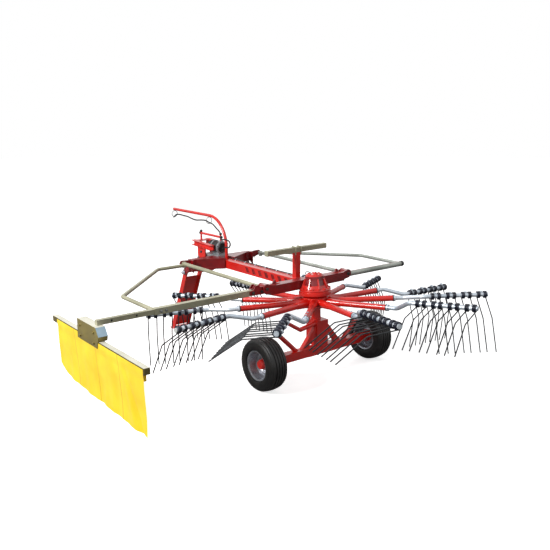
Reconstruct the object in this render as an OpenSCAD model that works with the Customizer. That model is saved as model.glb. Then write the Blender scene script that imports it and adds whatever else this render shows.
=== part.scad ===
// Single rotor rotary hay rake with eleven cam arms, parked on its wheels and its stand.
// Millimetres. X points to the right, Y the way the rake is towed, Z up.
// Inside place() the rotor's axis stands over x = 0, and the floor is z = 0.

/* [Rotor] */
// Number of tine arms
arm_n = 11; // [9:1:12]
// Radius to the free end of a tine arm
rotor_r = 1322; // [1290:2:1380]
// Height of the tine arms at the rotor's axis
hub_z = 579; // [570:1:590]
// Lean of the rotor's axis towards the front, in degrees
rotor_tilt = 4.2; // [0:0.1:5]
// Direction of the first arm, counted from the right-hand side, in degrees
arm_phase = 155.8; // [150:0.1:160]
// Radius of the hub drum
hub_r = 104; // [95:1:115]
// Length of an arm's red bearing tube, out from the rotor's axis
tube_reach = 616; // [580:1:640]
// Outer diameter of the red bearing tubes
tube_d = 46; // [44:1:52]

/* [Tine arms] */
// Diameter of the galvanised tine bar
bar_d = 33; // [30:1:36]
// Sideways offset of the bar's crank
crank = 117; // [90:1:120]
// Length of straight bar between the red tube and the crank
crank_lead = 84; // [70:2:100]
// Length of the bar beyond the crank
crank_tail = 490; // [470:5:510]
// Double tines on each arm
tine_n = 4; // [3:1:4]
// Distance from one double tine to the next
tine_pitch = 117; // [112:1:125]
// Distance between the middles of a double tine's two coils
coil_gap = 50; // [48:1:56]
// Diameter of the tine wire
wire_d = 8.5; // [8:0.5:10]
// Turns in each tine coil
coil_turns = 3; // [3:1:4]
// Clear radius between the bar and its coils
coil_clear = 3; // [2.5:0.5:5]
// Length of a tine leg from its coil to its bend
leg_upper = 220; // [180:5:240]
// Length of a tine leg from its bend to its tip
leg_lower = 258; // [220:5:265]
// Slope of the upper leg below the horizontal, with the arm untwisted, in degrees
upper_slope = 48; // [40:1:60]
// Slope of the lower leg below the horizontal, with the arm untwisted, in degrees
lower_slope = 77; // [70:1:90]
// Radius of the bend between the two
leg_bend = 40; // [30:5:60]

/* [Wheels] */
// Outer diameter of a tyre
tyre_d = 406; // [396:2:420]
// Width of a tyre
tyre_w = 168; // [150:2:180]
// Distance between the tyres' middles
track = 1136; // [1100:2:1180]
// Wheel axis, forward of the rotor's axis
axle_y = -34; // [-45:1:-25]
// Diameter of the tyre's seat on the rim
bead_d = 222; // [210:2:230]
// Diameter of the stub axles
stub_d = 40; // [36:1:44]
// Side of the square axle beam
axle_side = 66; // [60:1:72]

/* [Frame] */
// Width of the main beam
beam_w = 90; // [86:2:96]
// Underside of the main beam above the floor
beam_bottom = 655; // [650:1:665]
// Top of the main beam above the floor
beam_top = 730; // [726:1:734]
// Front end of the main beam
beam_front = 1310; // [1290:5:1330]
// Height of the guard arms above the floor
guard_z = 716; // [714:1:720]
// Guard arm axis, forward of the rotor's axis
guard_y = 138; // [136:1:142]
// Distance from the middle to each guard hinge
hinge_x = 432; // [428:1:440]
// Depth of the cross-beam along the rake
cross_depth = 76; // [70:2:80]
// Height of the transport rest's bar above the floor
rest_z = 963; // [940:1:1000]
// Length of the transport rest's bar
rest_len = 612; // [560:4:640]

/* [Guards] */
// Side of the left guard's square arm
arm_side = 44; // [42:1:46]
// Wall of the left guard's square arm
arm_wall = 4.5; // [4:0.5:5]
// End of the left guard arm, out from the middle
arm_end = 1376; // [1370:2:1390]
// Diameter of the guard hoops
hoop_d = 30; // [26:1:34]
// Front corner of the hoops, forward of the rotor's axis
hoop_front = 1300; // [1290:2:1304]
// Rear corner of the hoops, forward of the rotor's axis
hoop_rear = 632; // [600:2:660]
// Diameter of the right guard's round arm
right_arm_d = 46; // [42:1:48]
// End of the right guard arm, out from the middle
right_end = 1165; // [1150:5:1190]

/* [Curtain] */
// Distance from the rotor's axis out to the curtain
curtain_x = 1790; // [1740:5:1850]
// Length of the curtain's rail
rail_len = 1370; // [1300:10:1420]
// Middle of the rail, forward of the rotor's axis
rail_mid = 150; // [130:5:170]
// Drop of the cloth below the rail, at its rear corner
cloth_drop = 398; // [350:2:400]
// Thickness of the cloth with its folds
cloth_t = 10; // [8:1:14]

/* [Hitch] */
// Distance between the lower link pins' shoulders
link_span = 684; // [676:2:700]
// Diameter of the lower link pins
link_pin_d = 28; // [22:1:28]
// Height of the lower link pins
link_z = 700; // [690:1:710]
// Lower link pins, forward of the rotor's axis
link_y = 1360; // [1350:1:1370]
// Slope of the parking stand from upright, in degrees
stand_lean = 24; // [22:1:28]
// Width of the parking stand
stand_w = 170; // [150:2:190]
// Tip of the hose arch, forward of the rotor's axis
arch_tip = 2190; // [2100:10:2200]
// Height of the hose arch
arch_z = 1108; // [1080:4:1130]

/* [Hidden] */
$fn = 48;
fit = 0.3;
gap = 6;
bend_lap = 1;
bend_swell = 0.06;

// Cam track: direction of the arm, twist of the arm
cam_track = [[0, -23], [25, -21], [58, -15], [90, -8], [123, -1], [156, -4],
    [188.5, 17], [221, 44], [254, 45], [287, 38], [319, 13], [352, -24], [360, -23]];

hub_y = 28;
hub_half = 40;
bar_r = bar_d / 2;
bar_start = tube_reach - 130;
crank_in = tube_reach + crank_lead;
crank_out = rotor_r - crank_tail;
coil_r = bar_r + coil_clear + wire_d / 2;
coil_pitch = wire_d * 0.96;
coil_len = (coil_turns - 1) * coil_pitch;
bridge_r = wire_d / 2 - 0.4;
tine_clamp = [18, 15, 24];
clamp_turn = 45;
tine_end = 48;
first_tine = rotor_r - tine_end - (tine_n - 1) * tine_pitch;
column_r = 38;
wheel_z = tyre_d / 2;
bead_r = bead_d / 2;
stub_r = stub_d / 2;
axle_half = track / 2 - tyre_w / 2 - 22;
cross_rear = guard_y - cross_depth / 2;
cross_front = guard_y + cross_depth / 2;
cross_bottom = 676;
cross_top = 748;
beam_rear = cross_front;
pocket_n = 7;
pocket_y = 300;
pocket_pitch = 90;
pocket = [40, 45, 25];
pocket_depth = 4.5;
pocket_z = beam_bottom + 16;
head_box_half = 58;
head_box_y = [-62, 68];
head_box_top = 440;
brace = [[50, 420], [50, 360], [150, 232], [210, 232]];
brace_half = 18;
strut_r = 18;
strut = [[245, 225], [437, 406]];
spindle_r = 15;
spindle = [[-40, 424], [-214, 397], [-365, 490]];
rest_y = 262;
rest_half = 20;
hinge_z = guard_z + 15;
hinge_pin_r = 10;
eye_r = 34;
eye_len = 60;
ear_t = 8;
ear_reach = 80;
gusset_t = 10;
gusset_half = 55;
gusset_rise = 32;
gusset_out = 68;
gusset_in = 100;
slide_side = arm_side - 2 * arm_wall - 1;
slide_in = 850;
rail_h = 41;
rail_d = 40;
rail_wall = 4;
rail_top = 611;
rail_in = curtain_x - rail_d / 2;
rail_out = curtain_x + rail_d / 2;
bracket_t = 5;
bracket_w = 65;
bracket_top = guard_z - slide_side / 2;
bracket_rear = 47;
bracket_front = 375;
bracket_knee = 645;
bracket_bottom = 565;
cloth_top = [10, 82];
cloth_rear = 30;

// The cloth's lower edge at its front, as [back from the rail's end, up from the rear corner]
cloth_front = [[52, 97], [159, 41], [358, 23]];

slide_out = curtain_x - 5;
left_corner = [697, hoop_front];
right_corner = [549, hoop_front + 44];
hoop_bend = 50;
slide_reach = 300;
plate_t = 12;
head_half = link_span / 2;
head_rear = 1195;
head_side = 1360;
head_front = 1385;
head_top = 750;
head_drop = 20;
tongue_half = 80;
tongue_end = 1645;
bearing_y = 1330;
bearing_r = 24;
head_overlap = 2;
mast_in = 62;
mast_y = [1511, 1638];
mast_arm_y = [1369, 1700];
mast_arm_z = [850, 864];
mast_depth = 50;
mast_flange = 40;
flange_t = 8;
mast_cap_y = 1640;
gearbox_half = 58;
gearbox_y = [beam_front + 2, 1440];
block_top = 758;
sill_half = 50;
sill_end = 1590;
sill_top = 742;
pto_z = 825;
drum_y = [1322, 1450];
drum_r = 54;
drum_flange_r = 61;
pad_half = 18;
pad_z = pto_z + drum_flange_r + 4;
pto_r = 17.5;
pto_len = 85;
lever_r = 11;
lever_z = 922;
post_r = 9;
post_y = [1350, 1685];
arch_y = 1257;
arch_r = 14;
arch_bend = 270;
ring_r = 31;
ring_wire = 3;
ring_z = arch_z - arch_r - fit - ring_wire - ring_r;
ring_y = [1541, arch_tip - 8];
stand_x = -235;
stand_y = 1470;
stand_z = 612;
stand_depth = 56;
stand_foot_t = 8;
stand_sink = 4;
stand_len = (stand_z - stand_foot_t + stand_sink - stand_depth / 2 * sin(stand_lean)) / cos(stand_lean);

function angle_of(k) = arm_phase + k * 360 / arm_n;
function wrapped(a) = a - 360 * floor(a / 360);
function twist_of(k) = lookup(wrapped(angle_of(k)), cam_track);

// A point of arm k, turned with the arm, the rotor and its lean
function about_x(p, a) = [p.x, p.y * cos(a) - p.z * sin(a), p.y * sin(a) + p.z * cos(a)];
function about_z(p, a) = [p.x * cos(a) - p.y * sin(a), p.x * sin(a) + p.y * cos(a), p.z];
function arm_point(k, p) = about_x(about_z(about_x(p, -twist_of(k)), angle_of(k)), -rotor_tilt);

// The far end of an arm's last tine leg, and the way that it points
leg_start = (coil_r - wire_d / 6) * [-sin(upper_slope), -cos(upper_slope)];
leg_up = [cos(-upper_slope), sin(-upper_slope)];
leg_low = [cos(-lower_slope), sin(-lower_slope)];
leg_tip = leg_start + leg_upper * leg_up + leg_lower * leg_low;
last_leg = rotor_r - tine_end + coil_gap / 2 + coil_len / 2;

// Round ends on an arm, as [centre, direction, radius]: its bar's end and its last tine's tip
arm_ends = [[[rotor_r, -crank, 0], [1, 0, 0], bar_r],
    [[last_leg, -crank - leg_tip.x, leg_tip.y], [0, -leg_low.x, leg_low.y], wire_d / 2]];

// How far the arms reach along axis i, to the side given by its sign
function arm_reach(i, side) = max([for (k = [0:arm_n - 1], e = arm_ends)
    side * arm_point(k, e[0])[i] + e[2] * sqrt(max(0, 1 - pow(arm_point(k, e[1])[i], 2)))]);

// The box around the whole rake, as far as its outermost pieces reach
reach_left = rail_out + bracket_t;
reach_right = arm_reach(0, 1);
reach_rear = arm_reach(1, -1) - hub_y;
reach_front = arch_tip;

// Moves the rake so that the middle of its box stands over the origin
module place() {
    translate([(reach_left - reach_right) / 2, (reach_rear - reach_front) / 2, 0]) children();
}

// A frame on the rotor's axis, leaning with it, at the height of the arms
module on_rotor() {
    place() translate([0, hub_y, hub_z]) rotate([-rotor_tilt, 0, 0]) children();
}

// A frame along arm k, twisted by the cam
module on_arm(k, twisted = true) {
    on_rotor() rotate([0, 0, angle_of(k)]) rotate([twisted ? -twist_of(k) : 0, 0, 0]) children();
}

module rod_x(x0, x1, r) {
    translate([x0, 0, 0]) rotate([0, 90, 0]) cylinder(r = r, h = x1 - x0);
}

module rod_y(y0, y1, r) {
    translate([0, y0, 0]) rotate([-90, 0, 0]) cylinder(r = r, h = y1 - y0);
}

// A round bar along a flat path of points [x, y], bent at each inner point.
// A bend is a hair thicker than the bar, whose straight lengths run into it.
module bent_bar(path, r, bend) {
    last = len(path) - 1;
    function dir(i) = (path[i + 1] - path[i]) / norm(path[i + 1] - path[i]);
    function turn(i) = let (a = dir(i - 1), b = dir(i)) atan2(a.x * b.y - a.y * b.x, a.x * b.x + a.y * b.y);
    function cut(i) = (i == 0 || i == last) ? 0 : bend * abs(tan(turn(i) / 2));
    for (i = [0:last - 1]) {
        start = path[i] + dir(i) * cut(i);
        end = path[i + 1] - dir(i) * cut(i + 1);
        translate([start.x, start.y, 0]) rotate([0, 0, atan2(dir(i).y, dir(i).x)])
            rod_x(i == 0 ? 0 : -bend_lap, norm(end - start) + (i == last - 1 ? 0 : bend_lap), r);
    }
    for (i = [1:1:last - 1]) {
        start = path[i] - dir(i - 1) * cut(i);
        side = sign(turn(i));
        heading = atan2(dir(i - 1).y, dir(i - 1).x);
        centre = start + side * bend * [-sin(heading), cos(heading)];
        translate([centre.x, centre.y, 0]) rotate([0, 0, heading - side * 90 + (side < 0 ? turn(i) : 0)])
            rotate_extrude(angle = abs(turn(i))) translate([bend, 0]) circle(r = r + bend_swell);
    }
}

// A flat plate in the X and Z plane, from y0 to y1, with points [x, z]
module plate_xz(points, y0, y1) {
    translate([0, y1, 0]) rotate([90, 0, 0]) linear_extrude(y1 - y0) polygon(points);
}

// A flat plate in the Y and Z plane, from x0 to x1, with points [y, z]
module plate_yz(points, x0, x1) {
    translate([x0, 0, 0]) rotate([90, 0, 90]) linear_extrude(x1 - x0) polygon(points);
}

module box(x, y, z) {
    translate([x[0], y[0], z[0]]) cube([x[1] - x[0], y[1] - y[0], z[1] - z[0]]);
}

// Rotor

module rotor_hub() {
    color("#c81e1c") on_rotor() difference() {
        union() {
            cylinder(r = hub_r, h = 2 * hub_half, center = true);
            translate([0, 0, hub_half]) cylinder(r1 = hub_r - 6, r2 = hub_r - 22, h = 10);
            for (k = [0:arm_n - 1]) rotate([0, 0, angle_of(k)]) {
                rod_x(hub_r - 30, tube_reach, tube_d / 2);
                translate([hub_r - 8, 0, 0]) rotate([0, 90, 0]) cylinder(r1 = 36, r2 = 26, h = 130);
            }
        }
        cylinder(r = column_r + fit, h = 4 * hub_half, center = true);
        for (k = [0:arm_n - 1]) rotate([0, 0, angle_of(k)]) rod_x(bar_start - 4, tube_reach + 1, bar_r + fit);
    }
}

module tine_bar(k) {
    color("#c9ccc8") on_arm(k) {
        bent_bar([[bar_start, 0], [crank_in, 0], [crank_out, -crank], [rotor_r, -crank]], bar_r, 60);
        rod_x(tube_reach + 1, tube_reach + 15, bar_r + 8);
    }
}

// One leg in the plane across the bar: trailing side is +X, up is +Y
module tine_leg() {
    bent_bar([leg_start, leg_start + leg_upper * leg_up, leg_tip], wire_d / 2, leg_bend);
}

// One coil of a double tine, its turns side by side, on the sleeve that centres it on the bar
module tine_coil() {
    rotate([0, 90, 0]) rotate_extrude() {
        translate([bar_r + fit, -coil_len / 2]) square([coil_clear + wire_d / 2, coil_len]);
        for (i = [0:coil_turns - 1])
            translate([coil_r, i * coil_pitch - coil_len / 2]) circle(d = wire_d);
    }
}

// Two coils, a leg from the outer turn of each, and the bridge between them under its clamp
module double_tine() {
    inner = coil_gap / 2 - coil_len / 2;
    for (side = [-1, 1]) {
        translate([side * coil_gap / 2, 0, 0]) tine_coil();
        translate([side * (coil_gap / 2 + coil_len / 2), 0, 0]) rotate([90, 0, -90]) tine_leg();
    }
    rotate([clamp_turn, 0, 0]) {
        translate([0, coil_r, 0]) rod_x(-inner, inner, bridge_r);
        translate([-tine_clamp.x / 2, bar_r + fit, -tine_clamp.z / 2]) cube(tine_clamp);
    }
}

module tines(k) {
    color("#23252a") on_arm(k) for (i = [0:tine_n - 1])
        translate([first_tine + i * tine_pitch, -crank, 0]) double_tine();
}

// Gearbox that carries the rotor, with the cam inside it

module rotor_gearbox() {
    color("#d3211d") difference() {
        on_rotor() translate([0, 0, hub_half + 10 + gap]) {
            rotate_extrude() polygon([[0, 0], [126, 0], [130, 6], [130, 26], [122, 30], [122, 38], [126, 42],
                [124, 50], [104, 58], [96, 76], [84, 84], [76, 118], [74, 150], [62, 165], [0, 165]]);
            for (k = [0:7]) rotate([0, 0, k * 45 + 22]) plate_xz([[70, 40], [121, 40], [84, 130], [70, 134]], -4, 4);
        }
        on_rotor() cylinder(r = column_r + fit, h = 200, center = true);
        place() box([-300, 300], [cross_rear, 400], [cross_bottom, 900]);
    }
}

module rotor_column() {
    color("#b3181a") on_rotor() {
        translate([0, 0, -200]) cylinder(r = column_r, h = 200 + hub_half + 40);
        translate([0, 0, -hub_half - gap - 8]) cylinder(r = column_r + 14, h = 8);
    }
}

// Wheels

// A tyre's outline: a superellipse, cut off flat where the beads sit on the rim
function bulge(c, power) = sign(c) * pow(abs(c), power);
function tyre_point(a) = [max(bead_r, wheel_z - 54 + 54 * bulge(cos(a), 0.8)), tyre_w / 2 * bulge(sin(a), 0.62)];

module tyre() {
    rotate([0, 90, 0]) rotate_extrude($fn = 64) polygon([for (a = [0:15:345]) tyre_point(a)]);
}

// The rim's dish is hollow to the outer side, +X
module rim() {
    half = tyre_w / 2 - 22;
    out = bead_r - fit;
    rotate([0, 90, 0]) rotate_extrude($fn = 64) polygon([[out, -half + 0.5], [out, half - 0.5], [out - 5, half - 0.5],
        [out - 5, -10], [50, -18], [50, -23], [out - 12, -16], [out - 9, -half + 0.5]]);
}

module wheel_at(side) {
    place() translate([side * track / 2, axle_y, wheel_z]) mirror([side < 0 ? 1 : 0, 0, 0]) children();
}

module tyre_left() {
    color("#1d1d1f") wheel_at(-1) tyre();
}

module tyre_right() {
    color("#1d1d1f") wheel_at(1) tyre();
}

module rim_left() {
    color("#b9bcc0") wheel_at(-1) rim();
}

module rim_right() {
    color("#b9bcc0") wheel_at(1) rim();
}

module hub_left() {
    color("#c81e1c") wheel_at(-1) hub();
}

module hub_right() {
    color("#c81e1c") wheel_at(1) hub();
}

module hub() {
    rotate([0, 90, 0]) rotate_extrude() polygon([[stub_r + fit, -76], [42, -76], [42, -40], [49.7, -36], [49.7, -14],
        [38, -10], [38, 30], [30, 42], [0, 42], [0, 30], [stub_r + fit, 30]]);
}

module chassis() {
    color("#bb1a1b") place() {
        box([-axle_half, axle_half], [axle_y - axle_side / 2, axle_y + axle_side / 2],
            [wheel_z - axle_side / 2, wheel_z + axle_side / 2]);
        chassis_head();
        for (side = [0, 1]) mirror([side, 0, 0]) {
            translate([0, axle_y, wheel_z]) rod_x(axle_half - 1, track / 2 + 28, stub_r);
            plate_xz(brace, axle_y - brace_half, axle_y + brace_half);
            translate([0, axle_y, 0]) bar_xz(strut[0], strut[1], strut_r);
        }
        translate([0, axle_y, 0]) {
            bar_xz(spindle[0], spindle[1], spindle_r + 3);
            bar_xz(spindle[1], spindle[2], spindle_r);
        }
    }
}

// A round bar in the X and Z plane, between two points [x, z]
module bar_xz(from, to, r) {
    translate([from.x, 0, from.y]) rotate([0, -atan2(to.y - from.y, to.x - from.x), 0]) rod_x(0, norm(to - from), r);
}

module chassis_head() {
    difference() {
        box([-head_box_half, head_box_half], head_box_y, [wheel_z + axle_side / 2, head_box_top]);
        translate([0, hub_y, hub_z]) rotate([-rotor_tilt, 0, 0]) translate([0, 0, -200])
            cylinder(r = column_r + fit, h = 400);
    }
}

// Main frame

// A row of slanted pockets is pressed into both sides of the beam
module main_beam() {
    color("#d3211d") place() difference() {
        box([-beam_w / 2, beam_w / 2], [beam_rear, beam_front], [beam_bottom, beam_top]);
        for (side = [0, 1], i = [0:pocket_n - 1]) mirror([side, 0, 0]) translate([0, pocket_y + i * pocket_pitch, pocket_z])
            plate_yz([[0, 0], [pocket[0], 0], [pocket[0] + pocket[2], pocket[1]], [pocket[2], pocket[1]]],
                beam_w / 2 - pocket_depth, beam_w / 2 + 1);
    }
}

module cross_beam() {
    half = hinge_x - eye_r - gap;
    color("#8e1418") place() {
        box([-half, half], [cross_rear, cross_front], [cross_bottom, cross_top]);
        for (side = [0, 1]) mirror([side, 0, 0]) {
            hinge_ears();
            gusset(hinge_x - gusset_in, cross_top);
        }
    }
}

// A hollow-sided gusset that stands on a beam, with its peak at x
module gusset(x, z) {
    plate_xz([[x - gusset_half, z - 1], [x + gusset_half, z - 1], [x + gusset_half, z + 2], [x + 18, z + 9],
        [x + 6, z + gusset_rise], [x - 6, z + gusset_rise], [x - 18, z + 9], [x - gusset_half, z + 2]],
        guard_y - gusset_t / 2, guard_y + gusset_t / 2);
}

// Two round-ended ears that hold a guard's eye
module hinge_ears() {
    for (y = [guard_y - eye_len / 2 - ear_t - 1, guard_y + eye_len / 2 + 1]) difference() {
        union() {
            plate_xz([[hinge_x - ear_reach, cross_bottom + 4], [hinge_x, hinge_z - eye_r - 2],
                [hinge_x, hinge_z + eye_r + 2], [hinge_x - ear_reach, cross_top - 4]], y, y + ear_t);
            translate([hinge_x, 0, hinge_z]) rod_y(y, y + ear_t, eye_r + 2);
        }
        translate([hinge_x, 0, hinge_z]) rod_y(y - 1, y + ear_t + 1, hinge_pin_r + fit);
    }
}

module rest_post() {
    color("#c01a1c") place() box([-23, 23], [rest_y - 23, rest_y + 23], [beam_top, rest_z - rest_half]);
}

module rest_bar() {
    color("#a9a58e") place() box([-rest_len / 2, rest_len / 2], [rest_y - rest_half, rest_y + rest_half],
        [rest_z - rest_half, rest_z + rest_half]);
}

// Hitch

module headstock() {
    color("#7d1116") place() {
        translate([0, 0, beam_bottom]) linear_extrude(plate_t) polygon([[-head_half, head_side],
            [-beam_w / 2, head_rear], [-beam_w / 2, beam_front], [beam_w / 2, beam_front], [beam_w / 2, head_rear],
            [head_half, head_side], [head_half, head_front], [tongue_half, head_front], [tongue_half, tongue_end],
            [-tongue_half, tongue_end], [-tongue_half, head_front], [-head_half, head_front]]);
        for (side = [0, 1]) mirror([side, 0, 0]) headstock_wing();
        for (side = [-1, 1]) stand_ear(stand_x + side * (stand_w / 2 + gap));
    }
}

// One side of the headstock: a top plate, a rear and a front wall, and the cheek of a link pin
module headstock_wing() {
    open_x = gearbox_half + gap;
    run = norm([head_half - beam_w / 2, head_side - head_rear]);
    splay = atan2(head_side - head_rear, head_half - beam_w / 2);
    translate([0, 0, head_top - plate_t]) linear_extrude(plate_t) polygon([[beam_w / 2, head_rear],
        [head_half, head_side], [head_half, head_front], [open_x, head_front], [open_x, beam_front],
        [beam_w / 2, beam_front]]);
    box([open_x, head_half], [head_front - plate_t, head_front], [beam_bottom + 1, head_top - 1]);
    translate([beam_w / 2, head_rear, 0]) rotate([0, 0, splay])
        plate_xz([[plate_t, beam_bottom - head_overlap], [run * 0.3, beam_bottom - head_overlap],
            [run * 0.42, beam_bottom - head_drop], [run, beam_bottom - head_drop], [run, head_top - plate_t / 2],
            [plate_t, head_top - plate_t / 2]], head_overlap, head_overlap + plate_t);
    plate_yz([[head_side - 60, beam_bottom - head_drop], [link_y, link_z - 32], [link_y, link_z + 32],
        [link_y - 15, head_top], [head_side - 60, head_top]], head_half - plate_t, head_half);
    translate([0, link_y, link_z]) rod_x(head_half - plate_t, head_half, 32);
    difference() {
        union() {
            plate_xz([[head_half * 0.8, beam_bottom + 16], [hinge_x, hinge_z - bearing_r], [hinge_x,
                hinge_z + bearing_r], [head_half * 0.8, head_top - 4]], bearing_y, bearing_y + plate_t);
            translate([hinge_x, 0, hinge_z]) rod_y(bearing_y, bearing_y + plate_t, bearing_r);
        }
        translate([hinge_x, 0, hinge_z]) rod_y(bearing_y - 1, bearing_y + plate_t + 1, hinge_pin_r + fit);
    }
}

// One of the two ears that the parking stand's pin turns in
module stand_ear(x) {
    difference() {
        union() {
            plate_yz([[head_front - plate_t, beam_bottom], [stand_y - 30, stand_z - 20], [stand_y, stand_z - 26],
                [stand_y + 16, stand_z + 20], [head_front, beam_bottom + 70], [head_front - plate_t, beam_bottom + 70]],
                x - plate_t / 2, x + plate_t / 2);
            translate([0, stand_y, stand_z]) rod_x(x - plate_t / 2, x + plate_t / 2, 26);
        }
        translate([0, stand_y, stand_z]) rod_x(x - plate_t, x + plate_t, hinge_pin_r + fit);
    }
}

module hitch_mast() {
    floor_z = beam_bottom + plate_t;
    low = [for (z = mast_arm_z) z - mast_depth];
    color("#c81e1c") place() {
        for (side = [0, 1]) mirror([side, 0, 0]) {
            plate_yz([[mast_y[0], floor_z], [mast_y[1], floor_z], [mast_y[1], low[1]], [mast_arm_y[1], low[1]],
                [mast_arm_y[1], mast_arm_z[1]], [mast_arm_y[0], mast_arm_z[0]], [mast_arm_y[0], low[0]],
                [mast_y[0], low[0]]], mast_in, mast_in + plate_t);
            for (z = [mast_arm_z, low + [flange_t, flange_t]]) plate_yz([[mast_arm_y[0] + 1, z[0] - flange_t],
                [mast_arm_y[1] - 1, z[1] - flange_t], [mast_arm_y[1] - 1, z[1] - 1], [mast_arm_y[0] + 1, z[0] - 1]],
                mast_in + 1, mast_in + mast_flange);
        }
        box([-mast_in - 1, mast_in + 1], [mast_cap_y, mast_arm_y[1] - 2],
            [mast_arm_z[1] - flange_t - 6, mast_arm_z[1] - 4]);
    }
}

module link_pins() {
    color("#2a2a2c") place() translate([0, link_y, link_z]) for (side = [0, 1]) mirror([side, 0, 0])
        rod_x(head_half, head_half + 72, link_pin_d / 2);
}

module drive_gearbox() {
    color("#8f9294") place() {
        box([-gearbox_half, gearbox_half], gearbox_y, [beam_bottom + plate_t, block_top]);
        box([-sill_half, sill_half], [gearbox_y[1] - 1, sill_end], [beam_bottom + plate_t, sill_top]);
        translate([0, 0, pto_z]) {
            rod_y(drum_y[0], drum_y[1], drum_r);
            for (y = [drum_y[0] + 6, drum_y[1] - 22]) rod_y(y, y + 14, drum_flange_r);
        }
        box([-drum_r * 0.7, drum_r * 0.7], [drum_y[0] + 10, gearbox_y[1] - 10], [block_top - 1, pto_z]);
        box([-pad_half, pad_half], [post_y[0] - pad_half, post_y[0] + pad_half], [pto_z, pad_z]);
    }
}

module pto_shaft() {
    color("#8d8f90") place() translate([0, 0, pto_z]) rod_y(drum_y[1], drum_y[1] + pto_len, pto_r);
}

module release_lever() {
    cap = mast_arm_z[1] - 4;
    color("#b3181a") place() {
        translate([0, 0, lever_z]) rod_y(post_y[0] - 18, post_y[1] + 18, lever_r);
        translate([0, post_y[0], pad_z]) cylinder(r = post_r, h = lever_z + 30 - pad_z);
        translate([0, post_y[1], cap]) cylinder(r = post_r, h = lever_z + 20 - cap);
    }
}

module hose_arch() {
    color("#c81e1c") place() translate([0, arch_y, 0]) rotate([90, 0, 90])
        bent_bar([[0, beam_top], [0, arch_z], [arch_tip - arch_y, arch_z]], arch_r, arch_bend);
}

module hose_rings() {
    color("#5c5c5c") place() for (y = ring_y) translate([0, y, ring_z])
        rotate([90, 0, 0]) rotate_extrude() translate([ring_r, 0]) circle(r = ring_wire, $fn = 16);
}

// The stand's frame has its pivot at the origin and hangs down along -Z
module parking_stand() {
    foot_y = stand_y + stand_z * tan(stand_lean);
    color("#c81e1c") place() {
        translate([stand_x, stand_y, stand_z]) rotate([stand_lean, 0, 0]) {
            for (side = [0, 1]) mirror([side, 0, 0])
                box([stand_w / 2 - 10, stand_w / 2], [-stand_depth / 2, stand_depth / 2], [-stand_len, 26]);
            box([-stand_w / 2 + 5, stand_w / 2 - 5], [-4, 4], [-stand_len + 20, -60]);
            rod_x(-stand_w / 2 - gap - plate_t, stand_w / 2 + gap + plate_t, hinge_pin_r);
        }
        translate([stand_x, foot_y, 0]) box([-stand_w / 2 - 6, stand_w / 2 + 6], [-60, 40], [0, stand_foot_t]);
    }
}

// Guards

// The hinge of a guard: its eye, the tube along the hinge line and the two pins
module guard_hinge() {
    translate([hinge_x, 0, hinge_z]) {
        rod_y(guard_y - eye_len / 2, guard_y + eye_len / 2, eye_r);
        rod_y(guard_y - eye_len / 2 - 18, guard_y + eye_len / 2 + 18, hinge_pin_r);
        rod_y(guard_y + eye_len / 2 + ear_t + 4, hoop_front, hoop_d / 2 + 1);
        rod_y(hoop_front - 20, bearing_y + plate_t + gap, hinge_pin_r);
    }
    translate([hinge_x, hoop_front, guard_z - hoop_d / 2 - 2])
        cylinder(r = hoop_d / 2 + 2, h = hinge_z - guard_z + hoop_d + 4);
}

// The left guard, mirrored to the right-hand side
module left_guard() {
    half = arm_side / 2;
    hollow = half - arm_wall;
    hoop_x = arm_end - 15;
    color("#b9b7a4") place() mirror([1, 0, 0]) {
        difference() {
            union() {
                box([hinge_x, arm_end], [guard_y - half, guard_y + half], [guard_z - half, guard_z + half]);
                gusset(hinge_x + gusset_out + 20, guard_z + half);
            }
            box([slide_in - slide_reach - 10, arm_end + 1], [guard_y - hollow, guard_y + hollow],
                [guard_z - hollow, guard_z + hollow]);
        }
        guard_hinge();
        translate([0, 0, guard_z]) bent_bar([[hoop_x, guard_y + half - 1], [hoop_x, hoop_rear],
            left_corner, [hinge_x, hoop_front]], hoop_d / 2, hoop_bend);
    }
}

module right_guard() {
    hoop_x = right_end - 20;
    color("#a9a893") place() {
        translate([0, guard_y, guard_z]) rod_x(hinge_x, right_end, right_arm_d / 2);
        guard_hinge();
        translate([0, 0, guard_z]) bent_bar([[hoop_x, guard_y], [hoop_x, hoop_rear],
            right_corner, [hinge_x, hoop_front]], hoop_d / 2, hoop_bend);
    }
}

module slide_tube() {
    color("#9d9a83") place() box([-slide_out, -slide_in], [guard_y - slide_side / 2, guard_y + slide_side / 2],
        [guard_z - slide_side / 2, guard_z + slide_side / 2]);
}

// A folded plate that hangs on the slide tube, with the rail against its inner side
module curtain_bracket() {
    outline = [[bracket_rear, bracket_knee], [bracket_rear + 38, bracket_top], [bracket_front, bracket_top],
        [bracket_front + 6, bracket_bottom], [bracket_rear + 29, bracket_bottom]];
    inner = [[bracket_rear + 5.5, bracket_knee], [bracket_rear + 41.5, bracket_top - bracket_t],
        [bracket_front - bracket_t, bracket_top - bracket_t], [bracket_front + 6 - bracket_t, bracket_bottom - 1],
        [bracket_rear + 34, bracket_bottom - 1]];
    color("#a8a05a") place() difference() {
        plate_yz(outline, -rail_out - bracket_t, -rail_out - bracket_t + bracket_w);
        plate_yz(inner, -rail_out, -rail_out + bracket_w);
        box([-rail_out, -rail_out + bracket_w], [bracket_rear - 1, bracket_front + 10],
            [bracket_bottom - 1, rail_top + fit]);
    }
}

module curtain_rail() {
    ends = [rail_mid - rail_len / 2, rail_mid + rail_len / 2];
    color("#cfccbb") place() difference() {
        box([-rail_out, -rail_in], ends, [rail_top - rail_h, rail_top]);
        box([-rail_out + rail_wall, -rail_in - rail_wall], [ends[0] + rail_wall, ends[1] - rail_wall],
            [rail_top - rail_h - 1, rail_top - rail_wall]);
    }
}

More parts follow.
